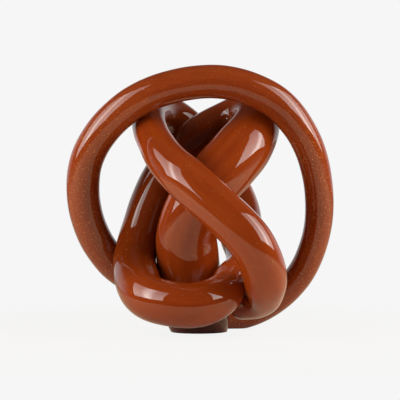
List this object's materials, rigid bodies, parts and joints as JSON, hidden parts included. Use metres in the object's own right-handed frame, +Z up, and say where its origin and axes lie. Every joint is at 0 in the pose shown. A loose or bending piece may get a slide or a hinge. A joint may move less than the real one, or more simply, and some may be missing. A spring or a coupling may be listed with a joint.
{
  "type": "glass knot sculpture",
  "caption": "Free-standing ornament: a thick tapering rod of brown glass laid in an over-and-under knot inside a thinner leaning ring, on a flat ground foot.",
  "frame": {"origin": "on the surface it stands on, under the middle of the whole piece", "axes": "+Z up, -Y towards the viewer of its front, +X to that viewer's right"},
  "size_m": [0.162, 0.1366, 0.1599],
  "materials": {
    "knot_glass": "opaque chestnut brown glass, fire-polished",
    "ring_glass": "opaque chestnut brown glass with fine pale seeds, fire-polished"
  },
  "bodies": {
    "root": {"foot_column": "knot_glass", "right_shoulder": "knot_glass", "back_saddle": "knot_glass", "left_flank": "knot_glass", "front_cradle": "knot_glass", "right_return": "knot_glass", "back_leg": "knot_glass", "left_shoulder": "knot_glass", "front_sash": "knot_glass", "right_hook": "knot_glass", "ring_crown": "ring_glass", "ring_right": "ring_glass", "ring_base": "ring_glass", "ring_left": "ring_glass"}
  },
  "joints": []
}
